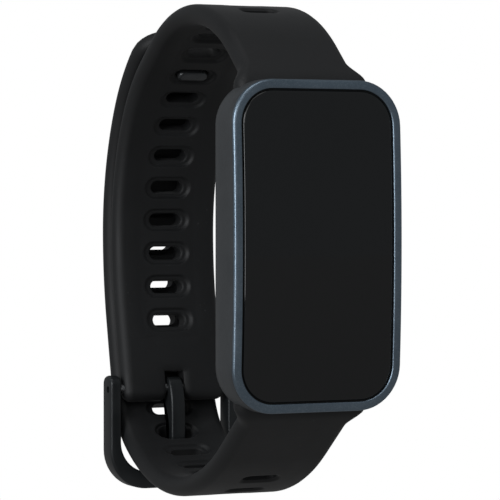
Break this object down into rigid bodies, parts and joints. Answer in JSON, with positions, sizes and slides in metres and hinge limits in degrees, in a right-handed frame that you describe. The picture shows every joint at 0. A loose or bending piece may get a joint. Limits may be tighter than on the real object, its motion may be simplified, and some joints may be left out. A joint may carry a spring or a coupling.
{
  "type": "fitness tracker band",
  "caption": "Slim wrist-worn activity tracker: curved glass front in a metal-ringed case on a perforated silicone strap closed with a pin buckle.",
  "frame": {"origin": "centre of the case's rear face, which rests on the wrist", "axes": "+X across the strap, towards the side button; +Y out of the rear face, away from the screen; +Z along the case towards 12 o'clock, so the band stands as worn and closed"},
  "size_m": [0.0247, 0.0559, 0.0686],
  "materials": {
    "case_shell": "satin anodised",
    "bezel_ring": "fine blasted, blue-grey",
    "cover_glass": "polished, dark tinted",
    "glass_gasket": "matte",
    "display_panel": "black, switched off",
    "display_backplate": "plain",
    "inner_frame": "moulded",
    "battery": "foil pouch",
    "main_board": "solder mask",
    "shield_can": "tinned",
    "processor_chip": "moulded package",
    "motor_can": "drawn",
    "motor_weight": "sintered heavy alloy",
    "side_button": "satin",
    "button_seal": "matte",
    "button_switch": "moulded",
    "rear_cover": "smooth",
    "rear_gasket": "matte",
    "sensor_window": "polished, dark tinted",
    "sensor_board": "solder mask",
    "sensor_lamps": "clear resin",
    "charging_pins": "gold plated",
    "charging_magnets": "nickel plated",
    "upper_strap": "matte silicone",
    "lower_strap": "matte silicone",
    "keeper_stud": "satin",
    "buckle_frame": "satin anodised",
    "buckle_tongue": "satin anodised",
    "bar_steel": "turned"
  },
  "bodies": {
    "band": {"case_shell": "case_shell", "bezel_ring": "bezel_ring", "cover_glass": "cover_glass", "glass_gasket": "glass_gasket", "display_panel": "display_panel", "display_backplate": "display_backplate", "inner_frame": "inner_frame", "battery": "battery", "main_board": "main_board", "shield_can": "shield_can", "processor_chip": "processor_chip", "motor_can": "motor_can", "button_seal": "button_seal", "button_switch": "button_switch", "rear_cover": "rear_cover", "rear_gasket": "rear_gasket", "sensor_window": "sensor_window", "sensor_board": "sensor_board", "sensor_lamps": "sensor_lamps", "charging_pins": "charging_pins", "charging_magnets": "charging_magnets", "upper_strap": "upper_strap", "lower_strap": "lower_strap", "keeper_stud": "keeper_stud", "upper_bar_tube": "bar_steel", "upper_bar_tip": "bar_steel", "upper_bar_spring": "bar_steel", "lower_bar_tube": "bar_steel", "lower_bar_tip": "bar_steel", "lower_bar_spring": "bar_steel", "buckle_bar_tube": "bar_steel", "buckle_bar_spring": "bar_steel"},
    "buckle_frame": {"buckle_frame": "buckle_frame"},
    "buckle_tongue": {"buckle_tongue": "buckle_tongue"},
    "buckle_pin_left": {"buckle_pin_left": "bar_steel"},
    "buckle_pin_right": {"buckle_pin_right": "bar_steel"},
    "upper_release_pin": {"upper_release_pin": "bar_steel"},
    "lower_release_pin": {"lower_release_pin": "bar_steel"},
    "side_button": {"side_button": "side_button"},
    "motor_weight": {"motor_weight": "motor_weight"}
  },
  "joints": [
    {"name": "buckle_frame_pivot", "type": "hinge", "parent": "band", "child": "buckle_frame", "pos_m": [0, 0.0387, -0.02138], "axis": [1, 0, 0], "range_deg": [-10, 0]},
    {"name": "tongue_pivot", "type": "hinge", "parent": "band", "child": "buckle_tongue", "pos_m": [0, 0.0387, -0.02138], "axis": [1, 0, 0], "range_deg": [0, 3]},
    {"name": "buckle_left_pin_slide", "type": "slide", "parent": "band", "child": "buckle_pin_left", "axis": [1, 0, 0], "range_m": [0, 0.0013], "stiffness_N_per_m": 400, "springref_m": -0.002, "deforming": ["buckle_bar_spring"]},
    {"name": "buckle_right_pin_slide", "type": "slide", "parent": "band", "child": "buckle_pin_right", "axis": [-1, 0, 0], "range_m": [0, 0.0013], "stiffness_N_per_m": 400, "springref_m": -0.002, "deforming": ["buckle_bar_spring"]},
    {"name": "upper_release_slide", "type": "slide", "parent": "band", "child": "upper_release_pin", "axis": [1, 0, 0], "range_m": [0, 0.0013], "stiffness_N_per_m": 400, "springref_m": -0.002, "deforming": ["upper_bar_spring"]},
    {"name": "lower_release_slide", "type": "slide", "parent": "band", "child": "lower_release_pin", "axis": [1, 0, 0], "range_m": [0, 0.0013], "stiffness_N_per_m": 400, "springref_m": -0.002, "deforming": ["lower_bar_spring"]},
    {"name": "side_button_press", "type": "slide", "parent": "band", "child": "side_button", "axis": [-1, 0, 0], "range_m": [0, 0.00035], "stiffness_N_per_m": 600, "springref_m": -0.0008},
    {"name": "motor_spin", "type": "hinge", "parent": "band", "child": "motor_weight", "pos_m": [0.0063, -0.004, 0.0108], "axis": [0, 1, 0], "continuous": true}
  ]
}
